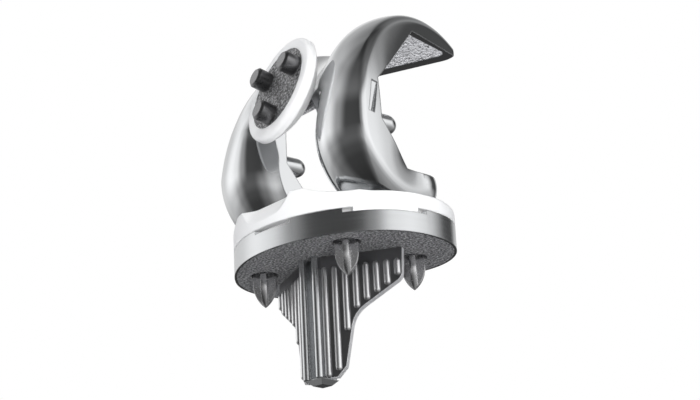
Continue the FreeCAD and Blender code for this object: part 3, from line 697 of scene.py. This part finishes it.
def section_at(turn, depth):
    """One cross section as (across, height under the ridge tops), from the outer side inwards."""
    drop = crest_at(turn) - groove_at(turn)
    share = min(1.0, max(0.0, turn / groove_run_in))
    shift = groove_shift * share
    ridge_x = ridge_place - ridge_place_fall * max(turn, 0)
    lean = 2 * math.atan(drop / ridge_x)
    radii = ridge_x / math.sin(lean)
    inner_round = inner_round_back + (inner_round_front - inner_round_back) * share
    valley = min(valley_widest, radii - inner_round)
    ridge = radii - valley
    joint = valley * math.sin(lean)
    gain = min(1.0, max(0.0, (turn - edge_gain_start) / (tip_angle - edge_gain_start)))
    edge = edge_round + edge_round_gain * gain
    halves = []
    for hand in (1, -1):
        width = half_width_at(turn) - hand * shift
        centre_x = width - edge
        centre_z = math.sqrt((outer_round - edge) ** 2 - (centre_x - ridge_x) ** 2) - outer_round
        start = math.atan2(centre_z + outer_round, centre_x - ridge_x)
        points = []
        for i in range(wall_steps):
            fall = (centre_z + depth) * (1 - i / wall_steps)
            points.append((width - wall_crown * (fall / skin_depth) ** 2, centre_z - fall))
        for i in range(edge_steps + 1):
            a = start * i / edge_steps
            points.append((centre_x + edge * math.cos(a), centre_z + edge * math.sin(a)))
        for i in range(1, outer_steps + 1):
            a = start + (math.pi / 2 - start) * i / outer_steps
            points.append((
                ridge_x + outer_round * math.cos(a), outer_round * math.sin(a) - outer_round
            ))
        for i in range(1, inner_steps + 1):
            x = ridge_x + (joint - ridge_x) * i / inner_steps
            points.append((x, -ridge + math.sqrt(ridge ** 2 - (ridge_x - x) ** 2)))
        for i in range(1, valley_steps + 1):
            x = joint * (1 - i / valley_steps)
            points.append((x, -drop + valley - math.sqrt(valley ** 2 - x ** 2)))
        halves.append([(shift + hand * x, z) for x, z in points])
    return halves[0] + halves[1][-2::-1]


def turned_section(section, turn, axis_y, axis_z, radius):
    """A cross section set at a turn round an axis, its ridge tops at the radius."""
    c, s = math.cos(math.radians(turn)), math.sin(math.radians(turn))
    return [(x, axis_y - (radius + h) * c, axis_z + (radius + h) * s) for x, h in section]


tip_reach = condyle_radius - tip_radius
tip_y = knee_y - tip_reach * math.cos(math.radians(tip_angle))
tip_z = knee_z + tip_reach * math.sin(math.radians(tip_angle))
tip_section = section_at(tip_angle, tip_radius)
tip_rings = []
for i in range(tip_turn_count, -1, -1):
    turn = tip_angle - tip_turn_step * i
    tip_rings.append(turned_section(tip_section, turn, tip_y, tip_z, tip_radius))
rings = []
for i in range(int((flange_end - tip_angle) / ring_step) + 1):
    turn = tip_angle + ring_step * i
    axis_y, radius = (knee_y, condyle_radius) if turn < 0 else (groove_y, crest_at(turn))
    rings.append(turned_section(section_at(turn, skin_depth), turn, axis_y, knee_z, radius))

far = 60
back_cut_y, back_cut_z = -0.6, 21.4
sole_cut_y, sole_cut_low, sole_cut_high = -11.2, 34.6, 47.5
front_cut_y, front_cut_z = 9.7, 70.0
notch_half, notch_top, notch_round = 10.4, 52.5, 9.5
lining_depth, lining_inner, lining_outer = 1.2, 13.4, 29.6
lining_low, lining_back_end = 2.4, 11.5
pocket_corners = [(-31.4, -20, 0), (37.2, -20, 0), (23.2, 37.0, 7.0), (-26.4, 14.6, 9.0)]
pocket_rim, pocket_height = 4.2, 59.5
flange_corners = [(-35.4, -20, 0), (37.2, -20, 0), (23.2, 37.0, 7.0), (-26.75, 14.45, 9.0)]
trim_start, trim_end, trim_low, trim_high = 9.5, 92, 58, 118
slot_y, slot_z, slot_lean = -14.0, 41.0, -12.0
slot_half_width, slot_half_length, slot_depth = 1.1, 5.25, 0.9


def along_x(u, v, w):
    """Outline seen from the side."""
    return (w, u, v)


def along_z(u, v, w):
    """Outline seen from above."""
    return (u, v, w)


def box_corners(low_u, low_v, high_u, high_v):
    """The four corners of a rectangle."""
    return [(low_u, low_v), (high_u, low_v), (high_u, high_v), (low_u, high_v)]


def cut(piece, cutter, operation="DIFFERENCE"):
    """The piece less the cutter, joined with it or kept inside it, as a plain mesh."""
    step = piece.modifiers.new("cut", "BOOLEAN")
    step.operation = operation
    step.solver = "MANIFOLD"
    step.object = cutter
    made = settled(piece)
    piece.modifiers.clear()
    piece.data = made
    bpy.data.objects.remove(cutter)


def bone_cuts(offset):
    """Side profile of the five flat cuts, moved into the metal."""
    back_lean = math.atan2(sole_cut_low - back_cut_z, back_cut_y - sole_cut_y)
    front_lean = math.atan2(front_cut_z - sole_cut_high, front_cut_y - sole_cut_y)
    y = sole_cut_y - offset
    return [
        (far, back_cut_z - offset),
        (back_cut_y - offset * math.tan(back_lean / 2), back_cut_z - offset),
        (y, sole_cut_low - offset * math.tan((math.pi / 2 - back_lean) / 2)),
        (y, sole_cut_high + offset * math.tan((math.pi / 2 - front_lean) / 2)),
        (front_cut_y - offset * math.tan(front_lean / 2), front_cut_z + offset),
        (far, front_cut_z + offset),
    ]


def flange_plan(corners, inset):
    """Plan of the flange's free end, with every side moved inwards."""
    moved = []
    for i, (u, v, radius) in enumerate(corners):
        here = Vector((u, v))
        before = (here - Vector(corners[i - 1][:2])).normalized()
        after = (Vector(corners[(i + 1) % 4][:2]) - here).normalized()
        inwards = Vector((-before.y - after.y, before.x + after.x))
        step = inwards * (inset / (1 + before.dot(after)))
        moved.append((u + step.x, v + step.y, max(radius - inset, 0)))
    return rounded(moved)


shell = ring_skin("femoral_shell", rings)
cut(shell, ring_skin("rolled_ends", tip_rings), "UNION")
cut(shell, block("bone", bone_cuts(0), -far, far, along_x))
notch_corners = [
    (-notch_half, 0, 0), (notch_half, 0, 0), (notch_half, notch_top, notch_round),
    (-notch_half, notch_top, notch_round),
]
cut(shell, block("notch", rounded(notch_corners), -far, far, along_y))
trimmed = box_corners(-far, trim_start, far, trim_end)
beyond = block("beyond", trimmed, trim_low, trim_high, along_z)
kept = block("kept", flange_plan(flange_corners, 0), trim_low - far, trim_high + far, along_z)
cut(beyond, kept)
cut(shell, beyond)
lining_plan = box_corners(-far, -far, far, lining_back_end)
for low, high in ((lining_inner, lining_outer), (-lining_outer, -lining_inner)):
    seat = block("seat", bone_cuts(lining_depth), low, high, along_x)
    kept = block("kept", lining_plan, lining_low, sole_cut_high, along_z)
    cut(seat, kept, "INTERSECT")
    cut(shell, seat)
seat = block("seat", bone_cuts(lining_depth), -lining_outer, lining_outer, along_x)
pocket_plan = flange_plan(pocket_corners, pocket_rim)
kept = block("kept", pocket_plan, sole_cut_high, sole_cut_high + pocket_height, along_z)
cut(seat, kept, "INTERSECT")
cut(shell, seat)
slot_turn = math.degrees(math.atan2(slot_z - knee_z, groove_y - slot_y))
slot_floor = half_width_at(slot_turn) - slot_depth
lean = math.radians(slot_lean)
slot_corners = []
for u, v in box_corners(-slot_half_width, -slot_half_length, slot_half_width, slot_half_length):
    across = u * math.cos(lean) - v * math.sin(lean)
    along = u * math.sin(lean) + v * math.cos(lean)
    slot_corners.append((slot_y + across, slot_z + along))
cut(shell, block("slot", slot_corners, slot_floor, far, along_x))
cut(shell, block("slot", slot_corners, -far, -slot_floor, along_x))

mirror_chrome, tree, shader, place = start_finish("mirror-polished cobalt-chrome")
shader.inputs["Metallic"].default_value = 1.0
shader.inputs["Base Color"].default_value = (0.66, 0.67, 0.68, 1)
buffing = grain(tree, place, 260.0, 3.0)
tree.links.new(spread_to(tree, buffing, 0.07, 0.11), shader.inputs["Roughness"])
tree.links.new(
    relief(tree, buffing, 0.012, 0.0001, eased_edges(tree, 0.0005)), shader.inputs["Normal"]
)
polish(shell, mirror_chrome)
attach(shell, "femoral_body")
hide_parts("femoral_component")


# Porous lining of the femoral shell
# Coarse pale beads sintered into shallow pockets on the bone side, framed by a smooth rim.
lining_greys = [(0.34, 0.18), (0.46, 0.64), (0.58, 0.88)]
pale_beads = bead_finish("pale sintered beads", 0.1, lining_greys, 1300.0, 1000.0, 0.9, 0.0006)
for zone in ("front", "distal_lateral", "distal_medial", "back_lateral", "back_medial"):
    lining = smooth_copy("femoral_lining_" + zone, "shell_bead_lining_" + zone, pale_beads)


# Femoral pegs
# Two bullet-nosed cobalt-chrome pegs screwed into the condyles; polished, so they look dark
# with thin highlights.
for side in ("lateral", "medial"):
    peg = smooth_copy("femoral_peg_" + side, "shell_peg_" + side, mirror_chrome, 40.0)


# Kneecap button
# A white polyethylene dome with a rounded rim, moulded onto its metal back, which sits in a
# round recess.
dome = smooth_copy("patella_dome", "kneecap_button", white_plastic, 40.0)


# Kneecap's metal back and pegs
# A disc of dark sintered beads with three short chamfered pegs, which bite into holes drilled in
# the kneecap's bone.
back_beads = bead_finish("dark kneecap beads", 0.75, coat_greys, 1500.0, 1300.0, 0.8, 0.0004)
back = smooth_copy("patella_backing", "kneecap_bead_back", back_beads)
stub_metal, tree, shader, place = start_finish("dark blasted metal")
shader.inputs["Metallic"].default_value = 1.0
shader.inputs["Base Color"].default_value = (0.21, 0.21, 0.215, 1)
blast = grain(tree, place, 2500.0, 3.0)
tree.links.new(spread_to(tree, blast, 0.25, 0.4), shader.inputs["Roughness"])
tree.links.new(
    relief(tree, blast, 0.15, 0.0001, eased_edges(tree, 0.0004)), shader.inputs["Normal"]
)
for side in ("lateral", "medial", "lower"):
    stub = smooth_copy("patella_peg_" + side, "kneecap_peg_" + side, stub_metal)
